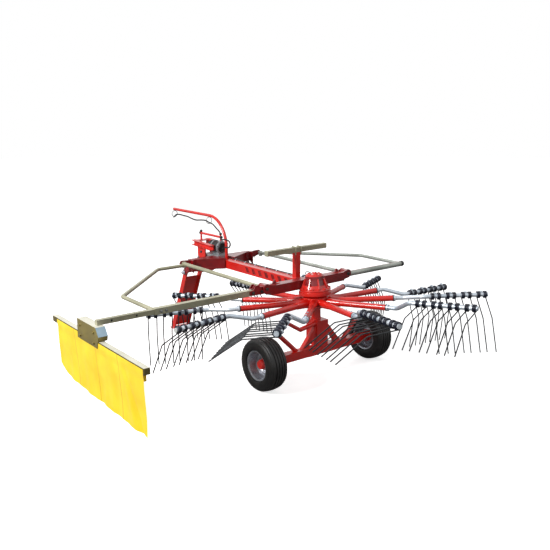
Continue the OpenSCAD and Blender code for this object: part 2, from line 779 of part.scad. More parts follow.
// The cloth hangs inside the rail
module curtain() {
    rear = rail_mid - rail_len / 2;
    front = rail_mid + rail_len / 2;
    low = rail_top - rail_h - cloth_drop;
    top = rail_top - rail_wall - fit;
    color("#f7dc35") place() plate_yz(concat([[front - cloth_top[1], top]],
        [for (p = cloth_front) [front - p.x, low + p.y]], [[rear + cloth_rear, low], [rear + cloth_top[0], top]]),
        -curtain_x - cloth_t / 2, -curtain_x + cloth_t / 2);
}

main_beam();
cross_beam();
rotor_gearbox();
rotor_column();
chassis();
headstock();
hitch_mast();
link_pins();
drive_gearbox();
pto_shaft();
release_lever();
hose_arch();
hose_rings();
rest_post();
rest_bar();
parking_stand();
rotor_hub();
for (k = [1:arm_n]) tine_bar(k - 1);
for (k = [1:arm_n]) tines(k - 1);
tyre_left();
tyre_right();
rim_left();
rim_right();
hub_left();
hub_right();
left_guard();
right_guard();
slide_tube();
curtain_bracket();
curtain_rail();
curtain();
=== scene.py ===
import bpy
import bmesh
from math import radians, pi, sin, cos, exp, atan2, hypot
from mathutils import Matrix, Vector


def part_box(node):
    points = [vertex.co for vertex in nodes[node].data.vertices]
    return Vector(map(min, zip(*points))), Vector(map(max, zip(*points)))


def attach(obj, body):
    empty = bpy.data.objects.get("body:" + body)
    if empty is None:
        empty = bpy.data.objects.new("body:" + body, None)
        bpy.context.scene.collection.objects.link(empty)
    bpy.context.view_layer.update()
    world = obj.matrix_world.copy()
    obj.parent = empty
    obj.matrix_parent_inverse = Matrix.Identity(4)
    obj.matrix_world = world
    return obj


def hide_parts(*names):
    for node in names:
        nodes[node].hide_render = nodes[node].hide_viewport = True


# Single rotor rotary hay rake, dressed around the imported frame, in metres
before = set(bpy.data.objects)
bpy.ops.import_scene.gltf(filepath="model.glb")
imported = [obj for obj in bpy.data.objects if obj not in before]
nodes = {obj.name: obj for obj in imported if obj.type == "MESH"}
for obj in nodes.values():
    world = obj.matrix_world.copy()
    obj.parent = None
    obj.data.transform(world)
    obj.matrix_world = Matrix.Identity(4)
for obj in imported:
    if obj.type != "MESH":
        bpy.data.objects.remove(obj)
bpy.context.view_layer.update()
print("frame loaded:", len(nodes), "nodes")


def middle(node):   # middle of a node's box
    low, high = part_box(node)
    return (low + high) / 2


axle = {"back": 0.034, "z": 0.203}   # how far behind the rotor's axis the wheels' axle lies, and its height
rotor = {
    "x": (middle("tyre_left").x + middle("tyre_right").x) / 2,   # the rotor's axis stands over this point
    "y": middle("tyre_left").y + axle["back"],
    "hubY": 0.028,               # the axis meets the height of the arms this far forward
    "hubZ": 0.579,
    "tilt": 4.2,                 # lean to the front, degrees
    "arms": 11,
    "phase": 155.8,              # direction of the first arm, degrees
    "reach": 1.322,              # radius to the end of a tine bar
    "tubeReach": 0.616,          # radius to the end of a red bearing tube
    "tubeRadius": 0.023,
    "tines": 4,
    "tinePitch": 0.117,
    "barRadius": 0.0165,
}


def at(x, y, z):   # a point given from the rotor's axis on the floor
    return Vector((rotor["x"] + x, rotor["y"] + y, z))


def addObject(name, data):
    thing = bpy.data.objects.new(name, data)
    bpy.context.scene.collection.objects.link(thing)
    return thing


# Camera, where the photographer stood
camera = {"x": -3.397, "y": -3.668, "z": 1.927, "yaw": 38.92, "pitch": 12.77, "focalPx": 652.3,
          "framePx": 550, "sensorMm": 36}
cameraData = bpy.data.cameras.new("camera")
cameraData.sensor_width = camera["sensorMm"]
cameraData.lens = camera["focalPx"] / camera["framePx"] * camera["sensorMm"]
cameraObject = addObject("camera", cameraData)
cameraObject.location = at(camera["x"], camera["y"], camera["z"])
cameraObject.rotation_euler = (radians(90 - camera["pitch"]), 0, radians(-camera["yaw"]))
bpy.context.scene.camera = cameraObject
bpy.context.scene.view_settings.view_transform = "Standard"


# Shader helpers
mmInMetre = 1000
edges = {"samples": 6, "flat": 0.995, "sharp": 0.75}   # what the bevel shader reads on a flat and on an edge


def linear(hexText):   # sRGB hex to linear colour
    values = [int(hexText[i:i + 2], 16) / 255 for i in (1, 3, 5)]
    return [v / 12.92 if v <= 0.04045 else ((v + 0.055) / 1.055) ** 2.4 for v in values] + [1.0]


def setInputs(tree, node, inputs):   # links each input to a socket, or sets its value
    for name, value in inputs.items():
        if isinstance(value, bpy.types.NodeSocket):
            tree.links.new(value, node.inputs[name])
        else:
            node.inputs[name].default_value = value


def addNode(tree, kind, inputs=None, **settings):   # one shader node with its settings and links
    node = tree.nodes.new(kind)
    for name, value in settings.items():
        setattr(node, name, value)
    setInputs(tree, node, inputs or {})
    return node


def noise(tree, coords, sizeMm, detail=3.0):   # noise whose patches are about this wide
    inputs = {"Vector": coords, "Scale": mmInMetre / sizeMm, "Detail": detail}
    return addNode(tree, "ShaderNodeTexNoise", inputs).outputs["Fac"]


def ramp(tree, source, stops):   # stops are (position, hex)
    node = addNode(tree, "ShaderNodeValToRGB", {"Fac": source})
    while len(node.color_ramp.elements) < len(stops):
        node.color_ramp.elements.new(0.5)
    for element, (place, hexText) in zip(node.color_ramp.elements, stops):
        element.position = place
        element.color = linear(hexText)
    return node.outputs["Color"]


def between(tree, source, low, high, fromLow=0.0, fromHigh=1.0):   # carries a value over to another range
    inputs = {"Value": source, "From Min": fromLow, "From Max": fromHigh, "To Min": low, "To Max": high}
    return addNode(tree, "ShaderNodeMapRange", inputs).outputs["Result"]


def calculate(tree, operation, *values):   # a sum on sockets and numbers
    return addNode(tree, "ShaderNodeMath", dict(enumerate(values)), operation=operation).outputs[0]


def mixColours(tree, factor, first, second):
    mix = addNode(tree, "ShaderNodeMix", {"Factor": factor, 6: first, 7: second}, data_type="RGBA")
    return mix.outputs[2]


def newMaterial(name, roughness, metallic=0.0):
    material = bpy.data.materials.new(name)
    material.use_nodes = True
    tree = material.node_tree
    shader = tree.nodes["Principled BSDF"]
    setInputs(tree, shader, {"Metallic": metallic, "Roughness": roughness})
    return material, tree, shader, addNode(tree, "ShaderNodeTexCoord").outputs["Object"]


def bevelled(tree, radius):   # the normal of a surface whose edges are rounded
    return addNode(tree, "ShaderNodeBevel", {"Radius": radius}, samples=edges["samples"]).outputs["Normal"]


def edgeMask(tree, radius):   # 1 along outer edges, where paint wears first
    flat = addNode(tree, "ShaderNodeNewGeometry").outputs["Normal"]
    inputs = {0: bevelled(tree, radius), 1: flat}
    both = addNode(tree, "ShaderNodeVectorMath", inputs, operation="DOT_PRODUCT").outputs["Value"]
    return between(tree, both, 0.0, 1.0, edges["flat"], edges["sharp"])


def bump(tree, height, strength, depth, **below):   # over another normal, where one is given
    inputs = {"Height": height, "Strength": strength, "Distance": depth, **below}
    return addNode(tree, "ShaderNodeBump", inputs).outputs["Normal"]


# Enamel, sprayed over primed steel: glossy, with fine orange peel, field dust and thin worn edges
paint = {"mottleMm": 140, "darkAt": 0.3, "baseAt": 0.6, "wearMm": 9, "wearEdge": 0.0018,
         "rough": (0.24, 0.4), "coat": 0.4, "coatRough": 0.1, "peelMm": 1.8, "peel": 0.06,
         "peelDepth": 0.0004, "edge": 0.002}


def enamel(name, base, dark, worn):
    material, tree, shader, coords = newMaterial(name, 0.3)
    mottle = noise(tree, coords, paint["mottleMm"])
    tone = ramp(tree, mottle, [(paint["darkAt"], dark), (paint["baseAt"], base)])
    patches = noise(tree, coords, paint["wearMm"], 4.0)
    wear = calculate(tree, "MULTIPLY", edgeMask(tree, paint["wearEdge"]), patches)
    peel = noise(tree, coords, paint["peelMm"], 1.0)
    setInputs(tree, shader, {
        "Base Color": mixColours(tree, wear, tone, linear(worn)),
        "Roughness": between(tree, mottle, *paint["rough"]),
        "Coat Weight": paint["coat"],
        "Coat Roughness": paint["coatRough"],
        "Normal": bump(tree, peel, paint["peel"], paint["peelDepth"], Normal=bevelled(tree, paint["edge"]))})
    return material


# Hot-dip galvanised steel: dull zinc with a faint spangle and soft clouds where it has aged
zinc = {"spangleShare": 0.12, "cloudMm": 240, "agedAt": 0.38, "brightAt": 0.74, "smoother": 0.04,
        "rougher": 0.08, "edge": 0.0015, "bump": 0.06, "depth": 0.0005}


def galvanised(name, bright, aged, metal, rough, spangleMm=9):
    material, tree, shader, coords = newMaterial(name, rough, metal)
    inputs = {"Vector": coords, "Scale": mmInMetre / spangleMm}
    spangle = addNode(tree, "ShaderNodeTexVoronoi", inputs, feature="SMOOTH_F1").outputs["Color"]
    cell = addNode(tree, "ShaderNodeSeparateColor", {"Color": spangle}).outputs[0]
    cloud = noise(tree, coords, zinc["cloudMm"], 2.0)
    both = calculate(tree, "MULTIPLY_ADD", cell, zinc["spangleShare"], cloud)
    setInputs(tree, shader, {
        "Base Color": ramp(tree, both, [(zinc["agedAt"], aged), (zinc["brightAt"], bright)]),
        "Roughness": between(tree, cell, rough - zinc["smoother"], rough + zinc["rougher"]),
        "Normal": bump(tree, cloud, zinc["bump"], zinc["depth"], Normal=bevelled(tree, zinc["edge"]))})
    return material


# Plain coats and bare metals: two close tones, a fine grain and its bump
coat = {"cloudMm": 60, "baseAt": 0.35, "liftAt": 0.7, "roughSpread": 0.08, "edge": 0.001, "depth": 0.0004}


def coated(name, base, lift, metal, rough, grainMm=3.0, bumpStrength=0.1):
    material, tree, shader, coords = newMaterial(name, rough, metal)
    grain = noise(tree, coords, grainMm, 4.0)
    cloud = noise(tree, coords, coat["cloudMm"])
    setInputs(tree, shader, {
        "Base Color": ramp(tree, cloud, [(coat["baseAt"], base), (coat["liftAt"], lift)]),
        "Roughness": between(tree, grain, rough - coat["roughSpread"], rough + coat["roughSpread"]),
        "Normal": bump(tree, grain, bumpStrength, coat["depth"], Normal=bevelled(tree, coat["edge"]))})
    return material


# Tyre rubber, moulded: near black, dry, with a brown tone spread by noise that is partly weathered bloom and
# partly painted sheen
rubber = {"dustAndSheenMm": 45, "black": (0.42, "#0d0d0e"), "bloomAndSheen": (0.78, "#262321"), "rough": (0.38, 0.58),
          "specular": 0.42, "grainMm": 1.6, "bump": 0.25, "depth": 0.0004}


def tyreRubber():
    material, tree, shader, coords = newMaterial("tyreRubber", 0.55)
    dustAndSheen = noise(tree, coords, rubber["dustAndSheenMm"], 6.0)
    setInputs(tree, shader, {
        # the brown stop is partly weathered bloom and partly painted sheen
        "Base Color": ramp(tree, dustAndSheen, [rubber["black"], rubber["bloomAndSheen"]]),
        "Roughness": between(tree, dustAndSheen, *rubber["rough"]),
        "Specular IOR Level": rubber["specular"],
        "Normal": bump(tree, noise(tree, coords, rubber["grainMm"]), rubber["bump"], rubber["depth"])})
    return material


# Woven polyester coated with PVC: bright, with its threads printing through, sewn from four panels
cloth = {"length": 1.308, "panels": 4, "seam": 0.014, "stitch": "#dcae1a", "cloudMm": 170,
         "deep": (0.35, "#f6cc16"), "bright": (0.62, "#fddc26"), "sheen": 0.06, "bump": 0.15,
         "depth": 0.0005, "threadScale": 1000 / 48}   # threads coarser than they are, so that they show
cloth["panel"] = cloth["length"] / cloth["panels"]


def coatedCloth():
    material, tree, shader, coords = newMaterial("coatedCloth", 0.4)
    uv = addNode(tree, "ShaderNodeUVMap", uv_map="cloth").outputs["UV"]
    threads = [addNode(tree, "ShaderNodeTexWave", {"Vector": uv, "Scale": cloth["threadScale"]},
                       bands_direction=way).outputs["Fac"] for way in ("X", "Y")]
    weave = calculate(tree, "MULTIPLY", *threads)
    tone = ramp(tree, noise(tree, coords, cloth["cloudMm"], 4.0), [cloth["deep"], cloth["bright"]])
    along = addNode(tree, "ShaderNodeSeparateXYZ", {"Vector": uv}).outputs["X"]
    panels = calculate(tree, "MULTIPLY", along, 1 / cloth["panel"])
    near = calculate(tree, "PINGPONG", panels, 0.5)   # 0 at each seam, counted in panels
    seam = cloth["seam"] / cloth["panel"]
    stitched = between(tree, near, 1.0, 0.0, 0.1 * seam, 0.45 * seam)
    setInputs(tree, shader, {
        "Base Color": mixColours(tree, stitched, tone, linear(cloth["stitch"])),
        "Sheen Weight": cloth["sheen"],
        "Normal": bump(tree, weave, cloth["bump"], cloth["depth"])})
    return material


materials = {
    "red": enamel("redEnamel", "#de2014", "#c81810", "#e8705a"),
    # the darker red is the same enamel with painted shade, for parts and faces that lie in shade
    "shadedRed": enamel("shadedRedEnamel", "#8e0d13", "#6c090e", "#a84038"),
    "zincBright": galvanised("galvanisedBright", "#e3ebf3", "#b9c4cf", 0.5, 0.34),
    "zincOlive": galvanised("galvanisedAged", "#b4b197", "#9a987f", 0.3, 0.42),
    "zincGrey": galvanised("galvanisedGrey", "#b9beb6", "#8d928b", 0.45, 0.45),
    "zincYellow": galvanised("zincPassivated", "#8f8146", "#776a3c", 0.4, 0.42, 30),
    # the blue, pale and dark zinc below are lit and shaded copies: painted shade, painted highlight and
    # painted shade
    "zincShadeBlue": galvanised("galvanisedShadeBlue", "#9fb6c4", "#74909f", 0.5, 0.36, 30),
    "zincHighlight": galvanised("galvanisedPaintedHighlight", "#e6e4d6", "#c9c6b2", 0.2, 0.5),
    "zincYellowShade": galvanised("zincPassivatedPaintedShade", "#6b5f34", "#4c4224", 0.35, 0.45, 30),
    "lacquer": coated("blackLacquer", "#0d1120", "#1a2034", 0.2, 0.3),
    "spring": coated("springSteel", "#1d1f21", "#34373a", 0.5, 0.42),
    "steel": coated("turnedSteel", "#77797a", "#a0a2a2", 0.9, 0.35, 1.5),
    "ironDark": coated("blackedSteel", "#2c2a2a", "#4a4644", 0.6, 0.45),
    "iron": coated("castAluminium", "#8a8f93", "#b2b6b9", 0.6, 0.48, 2.2, 0.4),
    "plastic": coated("blackPolyethylene", "#0f0f11", "#1d1d20", 0.0, 0.42, 4.0),
    "hose": coated("rubberHose", "#141416", "#242427", 0.0, 0.5, 2.0),
    "rimPaint": coated("aluminiumPaint", "#8b8e96", "#b6b9c1", 0.7, 0.28, 2.0, 0.05),
    "rubber": tyreRubber(),
    "cloth": coatedCloth(),
}
nodeMaterial = {
    "cross_beam": "shadedRed", "headstock": "shadedRed", "link_pins": "steel", "drive_gearbox": "iron",
    "hose_rings": "steel", "rest_bar": "zincOlive", "slide_tube": "zincOlive",
}   # tine bars are bright zinc, the cross-beam and headstock take the red darkened as painted shade, the rest is red, and some nodes are dressed face by face below
for name, piece in nodes.items():
    key = nodeMaterial.get(name, "zincBright" if name.startswith("tine_bar") else "red")
    piece.data.materials.clear()
    piece.data.materials.append(materials[key])
print("materials on the frame's nodes")


def finishPiece(bm, name, material, body, smooth=True):   # makes a mesh a piece on its body
    bmesh.ops.remove_doubles(bm, verts=bm.verts, dist=1e-6)
    bmesh.ops.recalc_face_normals(bm, faces=bm.faces)
    mesh = bpy.data.meshes.new(name)
    bm.to_mesh(mesh)
    bm.free()
    for face in mesh.polygons:
        face.use_smooth = smooth
    if smooth:
        mesh.set_sharp_from_angle(angle=radians(35))
    mesh.materials.append(materials[material])
    piece = addObject(name, mesh)
    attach(piece, body)
    return piece


def paintFaces(name, keys, choose):   # gives each face of a node the material that choose() counts off
    piece = nodes[name]
    piece.data.materials.clear()
    for key in keys:
        piece.data.materials.append(materials[key])
    for face in piece.data.polygons:
        face.material_index = int(choose(face))


def facing(point, direction, size=1.0):   # moves local Z to a direction, at a point
    turn = Vector(direction).to_track_quat("Z", "Y").to_matrix().to_4x4()
    return Matrix.Translation(point) @ turn @ Matrix.Scale(size, 4)


def addShape(bm, shape, place, keep=False):   # adds a small mesh to another, moved by a matrix
    copy = bpy.data.meshes.new("shape")
    shape.to_mesh(copy)
    bm.from_mesh(copy)
    bm.verts.ensure_lookup_table()
    bmesh.ops.transform(bm, matrix=place, verts=bm.verts[-len(copy.vertices):])
    bpy.data.meshes.remove(copy)
    if not keep:
        shape.free()


def turned(bm, outline, place, steps, closed=False):   # an outline of (radius, height), spun about Z
    shape = bmesh.new()
    verts = [shape.verts.new((r, 0, h)) for r, h in outline]
    sides = [shape.edges.new(pair) for pair in zip(verts, verts[1:])]
    if closed:
        sides.append(shape.edges.new((verts[-1], verts[0])))
    bmesh.ops.spin(shape, geom=verts + sides, cent=(0, 0, 0), axis=(0, 0, 1), angle=2 * pi, steps=steps,
                   use_merge=True)
    bmesh.ops.remove_doubles(shape, verts=shape.verts, dist=1e-6)
    addShape(bm, shape, place)


def skin(bm, rings):   # a skin over rings of vertices, closed at both ends
    count = len(rings[0])
    for first, second in zip(rings, rings[1:]):
        for j in range(count):
            after = (j + 1) % count
            bm.faces.new((first[j], first[after], second[after], second[j]))
    bm.faces.new(rings[0][::-1])
    bm.faces.new(rings[-1])


def tube(bm, points, radius, sides=10):   # a round bar along a line of points
    rings = []
    normal = (points[1] - points[0]).orthogonal()
    for i, point in enumerate(points):
        ahead = (points[min(i + 1, len(points) - 1)] - points[max(i - 1, 0)]).normalized()
        normal = (normal - ahead * normal.dot(ahead)).normalized()
        side = ahead.cross(normal)
        rings.append([bm.verts.new(point + radius * (cos(a) * normal + sin(a) * side))
                      for a in (2 * pi * j / sides for j in range(sides))])
    skin(bm, rings)


def wireRing(centre, across, up, steps=18):   # points of a closed ring, given by two half-widths as vectors
    turns = [2 * pi * i / steps for i in range(steps + 1)]
    return [centre + cos(t) * Vector(across) + sin(t) * Vector(up) for t in turns]


def roundPlaces(count, radius, start=0.0):   # places spaced evenly around a circle, as (across, up)
    turns = [2 * pi * (i + start) / count for i in range(count)]
    return [(radius * cos(t), radius * sin(t)) for t in turns]


def roundEdges(bm, geom, offset):
    bmesh.ops.bevel(bm, geom=geom, offset=offset, segments=2, affect="EDGES", profile=0.5, material=-1)


def softBox(bm, centre, size, bevel):   # a box with rounded edges, where bevel is a share of each side
    box = bmesh.new()
    bmesh.ops.create_cube(box, size=1)
    roundEdges(box, box.edges[:], bevel)
    addShape(bm, box, Matrix.Translation(centre) @ Matrix.Diagonal((*size, 1)))


def smoothPath(points, steps=5):   # a smooth line through points, as a Catmull-Rom curve
    ends = [2 * points[0] - points[1]] + points + [2 * points[-1] - points[-2]]
    path = []
    for a, b, c, d in zip(ends, ends[1:], ends[2:], ends[3:]):
        for i in range(steps):
            t = i / steps
            path.append(0.5 * (2 * b + (c - a) * t + (2 * a - 5 * b + 4 * c - d) * t * t
                               + (3 * b - a - 3 * c + d) * t * t * t))
    return path + [points[-1]]


def weld(bm, start, end, radius):   # the bead of a fillet weld, from one point to another
    steps = max(4, int((end - start).length / 0.006))
    tube(bm, [start.lerp(end, i / steps) for i in range(steps + 1)], radius, 8)


# Bolts and nuts, each made once at the origin and standing on Z
def hexBolt():   # an M10 bolt head on its washer
    shape = bmesh.new()
    washer = [(0, 0), (0.0105, 0), (0.0105, 0.0018), (0, 0.0018)]
    turned(shape, washer, Matrix.Identity(4), 20)
    head = bmesh.new()
    bmesh.ops.create_cone(head, cap_ends=True, segments=6, radius1=0.0092, radius2=0.0092, depth=0.0064)
    top = [e for e in head.edges if all(v.co.z > 0 for v in e.verts)]
    roundEdges(head, top, 0.0011)
    addShape(shape, head, Matrix.Translation((0, 0, 0.005)))
    return shape


def hexNut():   # an M10 nut on its washer, with the bolt's end standing out
    shape = hexBolt()
    boltEnd = [(0, 0.008), (0.005, 0.008), (0.005, 0.0125), (0.0042, 0.0135), (0, 0.0135)]
    turned(shape, boltEnd, Matrix.Identity(4), 16)
    return shape


bolt = hexBolt()
nut = hexNut()


def fasten(bm, shape, spot, way, size, within=None):   # sets a bolt or a nut on a face
    place = facing(spot, way, size)
    addShape(bm, shape, within @ place if within else place, keep=True)


# Hoses: one along the arch through its rings, and one looped from the lever's post to the drive gearbox
hoseRoute = [(1.352, 0.946), (1.358, 0.961), (1.378, 0.978), (1.421, 0.999), (1.477, 1.029), (1.542, 1.040),
             (1.599, 1.052), (1.68, 1.048), (1.772, 1.038), (1.851, 1.044), (1.93, 1.056), (2.004, 1.058),
             (2.08, 1.061), (2.145, 1.054), (2.182, 1.034)]
loopRoute = [(1.334, 0.905), (1.300, 0.906), (1.260, 0.912), (1.220, 0.911), (1.192, 0.902), (1.179, 0.881),
             (1.186, 0.858), (1.205, 0.845), (1.229, 0.842), (1.262, 0.838), (1.295, 0.822), (1.3205, 0.806)]
hoseRadius = 0.0065
coupler = {"over": 0.004,   # how far it is pushed over the hose
           "outline": [(0, 0), (0.0072, 0), (0.0078, 0.002), (0.0078, 0.014), (0.0066, 0.016),
                       (0.0066, 0.022), (0.0052, 0.024), (0.0052, 0.031), (0, 0.031)]}
for name, route, x, far in (("arch_hose", hoseRoute, 0.0, "fitting"),
                            ("loop_hose", loopRoute, -0.012, "object")):
    path = smoothPath([at(x, y, z) for y, z in route])
    bm = bmesh.new()
    tube(bm, path, hoseRadius, 12)
    hose = finishPiece(bm, name, "hose", "frame")
    fittings = []
    if far == "fitting":
        bm = bmesh.new()
        ahead = (path[-1] - path[-2]).normalized()
        turned(bm, coupler["outline"], facing(path[-1] - ahead * coupler["over"], ahead), 24)
        fittings = [finishPiece(bm, "hose_coupler", "steel", "frame")]
print("hoses run")


# Places along the rotor's arms
rotorLean = Matrix.Rotation(radians(-rotor["tilt"]), 4, "X")
rotorAxis = Matrix.Translation(at(0, rotor["hubY"], rotor["hubZ"])) @ rotorLean
rotorUp = rotorAxis.to_3x3() @ Vector((0, 0, 1))


def armPlace(k):   # the frame of arm k, before its cam turns it
    turn = rotor["phase"] + (k - 1) * 360 / rotor["arms"]
    return rotorAxis @ Matrix.Rotation(radians(turn), 4, "Z")


def barEnd(k):   # where the free end of arm k's bar lies, across the arm
    inverse = armPlace(k).inverted()
    bar = [inverse @ v.co for v in nodes[f"tine_bar_{k}"].data.vertices]
    far = max(p.x for p in bar) - 0.0005
    end = [p for p in bar if p.x > far]
    return sum(p.y for p in end) / len(end), sum(p.z for p in end) / len(end)


def barPlace(k):   # the frame along arm k's outer bar, turned with its cam: the clamp is at +Y
    y, z = barEnd(k)
    return armPlace(k) @ Matrix.Translation((0, y, z)) @ Matrix.Rotation(atan2(z, y) + pi, 4, "X")


# Double tines: black coils, springy legs, and a zinc clamp with its bolt between the coils
tine = {"end": 0.048, "legsFrom": 0.0291, "clampHalf": 0.0095, "clampOver": 0.008, "clampTurn": 45,
        "clampTop": 0.0316, "boltSize": 0.85}
tine["middles"] = [rotor["reach"] - tine["end"] - i * rotor["tinePitch"] for i in range(rotor["tines"])]


def dressTines(k):
    inverse = barPlace(k).inverted()

    def finish(face):   # 0 on the coils, 1 on the legs and 2 on the clamp
        spot = inverse @ face.center
        out = hypot(spot.y, spot.z)
        besideBolt = min(abs(spot.x - x) for x in tine["middles"]) < tine["clampHalf"]
        if besideBolt and out > rotor["barRadius"] + tine["clampOver"]:
            return 2
        return out > tine["legsFrom"]

    paintFaces(f"tines_{k}", ("lacquer", "spring", "zincBright"), finish)


def clampBolts(k):
    bm = bmesh.new()
    way = Vector((0, cos(radians(tine["clampTurn"])), sin(radians(tine["clampTurn"]))))
    for x in tine["middles"]:
        fasten(bm, bolt, Vector((x, 0, 0)) + way * tine["clampTop"], way, tine["boltSize"], barPlace(k))
    finishPiece(bm, f"clamp_bolts_{k}", "zincBright", "rotor")


for k in range(1, rotor["arms"] + 1):
    dressTines(k)
    clampBolts(k)
print("tines dressed")


# Bearing tubes: a black seal in each mouth, and two pinch bolts on top
sealOutline = [(0.0168, -0.004), (0.0252, -0.004), (0.0262, -0.002), (0.0262, 0.002), (0.0242, 0.004),
               (0.0168, 0.004)]
alongX = Matrix.Rotation(radians(90), 4, "Y")
sealRings = bmesh.new()
pinchBolts = bmesh.new()
for k in range(1, rotor["arms"] + 1):
    mouth = armPlace(k) @ Matrix.Translation((rotor["tubeReach"] - 0.001, 0, 0))
    turned(sealRings, sealOutline, mouth @ alongX, 28, True)
    for x in (0.50, 0.58):
        fasten(pinchBolts, bolt, (x, 0, rotor["tubeRadius"] - 0.0006), (0, 0, 1), 0.8, armPlace(k))
finishPiece(sealRings, "bearing_seals", "plastic", "rotor")
finishPiece(pinchBolts, "bearing_bolts", "zincBright", "rotor")
print("bearing tubes dressed")


# Tyres: five ribs around the tread, a round shoulder and two raised rings on the wall
tyre = {"ribs": 5, "ribDepth": 0.006, "grooveWidth": 0.008, "grooveFloor": 0.6, "crown": 0.007, "steps": 96,
        "wallRing": 0.0012, "ringAngles": (42, 66), "seat": 0.111, "bandHalf": 0.060, "shoulder": 0.011,
        "bead": [(0.1225, 0.004), (0.1195, 0.0135), (0.1175, 0.0175)]}   # radius, and how far inward


def tyreOutline(outer, half):
    points = []
    tread = tyre["bandHalf"]
    pitch = 2 * tread / tyre["ribs"]
    for i in range(tyre["ribs"]):
        start = -tread + i * pitch
        for a in (start + tyre["grooveWidth"] / 2, start + pitch - tyre["grooveWidth"] / 2):
            points.append((outer - tyre["crown"] * (a / tread) ** 2, a))
        if i < tyre["ribs"] - 1:
            groove = start + pitch
            depth = outer - tyre["ribDepth"] - tyre["crown"] * (groove / tread) ** 2
            floorHalf = tyre["grooveWidth"] * tyre["grooveFloor"] / 2
            points += [(depth, groove - floorHalf), (depth, groove + floorHalf)]
    wall = []
    for angle in range(0, 84, 6):
        t = radians(angle)
        r = tyre["seat"] + (outer - tyre["shoulder"] - tyre["seat"]) * cos(t) ** 0.8
        a = tread + (half - 0.0014 - tread) * sin(t) ** 0.7
        wall.append((r, a + (tyre["wallRing"] if angle in tyre["ringAngles"] else 0)))
    wall += [(r, half - inward) for r, inward in tyre["bead"]]
    wall.append((tyre["seat"], half - 0.022))
    return [(r, -a) for r, a in reversed(wall)] + points + wall


# Rims: a rolled lip, a deep well and a stepped disc, held by five nuts, with a valve
rim = {"lip": 0.1165, "well": 0.104, "wall": 0.0035, "lipAt": 0.0665, "steps": 72,
       "nuts": 5, "nutCircle": 0.0535, "nutAt": -0.0162, "nutSize": 1.25,
       "valve": [(0.0985, 0, 0.004), (0.095, 0, 0.018), (0.090, 0, 0.030)], "valveRadius": 0.004}
valveCap = [(0, 0), (0.0052, 0), (0.0052, 0.010), (0.004, 0.012), (0, 0.012)]


def rimOutline():
    well, lip, seat = rim["well"], rim["lip"], rim["lipAt"]
    inner = well - rim["wall"]
    face = [(well, seat - 0.008), (well + 0.004, seat - 0.0015), (lip - 0.001, seat), (lip, seat + 0.0025),
            (lip - 0.002, seat + 0.004), (well, seat + 0.0015), (inner, seat - 0.006)]
    disc = [(inner, 0.014), (0.095, 0.004), (0.082, 0.002), (0.074, -0.009), (0.066, -0.014),
            (0.060, -0.016), (0.0385, -0.016), (0.0385, -0.0215), (0.060, -0.0215), (0.071, -0.015),
            (0.079, -0.003), (0.095, -0.001), (inner, 0.0)]
    return face + disc + [(r, -a) for r, a in reversed(face)]


for side, out in (("left", -1), ("right", 1)):
    low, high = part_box(f"tyre_{side}")
    place = facing(middle(f"tyre_{side}"), (out, 0, 0))
    bm = bmesh.new()
    turned(bm, tyreOutline((high.z - low.z) / 2, (high.x - low.x) / 2), place, tyre["steps"], True)
    piece = finishPiece(bm, f"tyre_{side}_treaded", "rubber", f"wheel_{side}")
    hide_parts(f"tyre_{side}")
    bm = bmesh.new()
    turned(bm, rimOutline(), place, rim["steps"], True)
    piece = finishPiece(bm, f"rim_{side}_rolled", "rimPaint", f"wheel_{side}")
    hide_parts(f"rim_{side}")
    bm = bmesh.new()
    for across, up in roundPlaces(rim["nuts"], rim["nutCircle"], 0.3):
        fasten(bm, nut, (across, up, rim["nutAt"]), (0, 0, 1), rim["nutSize"], place)
    finishPiece(bm, f"wheel_nuts_{side}", "steel", f"wheel_{side}")
    bm = bmesh.new()
    tube(bm, [place @ Vector(v) for v in rim["valve"]], rim["valveRadius"])
    turned(bm, valveCap, place @ facing((0.0895, 0, 0.028), (-0.35, 0, 1)), 16)
    finishPiece(bm, f"valve_{side}", "plastic", f"wheel_{side}")
print("wheels dressed")


# Curtain: one cloth hung in its rail, with a hem over the rail's side and a round front corner
curtain = {"columns": 180, "rows": 30, "foldDepth": 0.0055, "thickness": 0.0012, "hemThickness": 0.0008,
           "seamDip": 0.0012, "lean": 0.0145, "leanFrom": 0.25, "leanOver": 0.29,
           "hemTop": 0.603, "hemFlat": 0.56, "bottom": 0.18, "height": 0.43,
           "rear": (-0.525, -0.505), "front": (0.753, 0.783)}   # y at the top and at the bottom
curtain["edge"] = [(-0.505, 0.172), (0.30, 0.187), (0.477, 0.195), (0.60, 0.205), (0.676, 0.2145),
                   (0.725, 0.227), (0.76, 0.245), (0.783, 0.269)]   # the lower edge, as (y, z)
curtain["waves"] = [(1.0, 2 * pi * 4.5, 0.4, 0.0), (0.5, 2 * pi * 10.3, 1.1, 1.0),
                    (0.25, 55.0, 0.0, -3.0)]   # size, rate along, start, and shift down the cloth
curtain["puckers"] = [(0.010, 0.05, 0.16, 0.022), (-0.007, 0.10, 0.15, 0.025),
                      (0.005, 0.47, -0.06, 0.03)]   # size, start, slope and width


def lowerEdge(y):   # height of the cloth's lower edge
    edge = curtain["edge"]
    for (y0, z0), (y1, z1) in zip(edge, edge[1:]):
        if y <= y1:
            return z0 + (z1 - z0) * max(0, (y - y0) / (y1 - y0))
    return edge[-1][1]


def foldAt(u, w):   # how far the cloth stands out of its plane: u runs forward, w runs up
    hang = 1 - w
    fold = sum(size * sin(u * rate + start + hang * shift) for size, rate, start, shift in curtain["waves"])
    cross = 0.5 * sin(9 * w + 14 * u) * max(0, u - 0.55)
    pucker = sum(size * exp(-((u - start - slope * w) / width) ** 2)
                 for size, start, slope, width in curtain["puckers"])
    return ((fold + cross) / 1.75 * curtain["foldDepth"] + pucker) * (0.05 + 0.95 * hang)


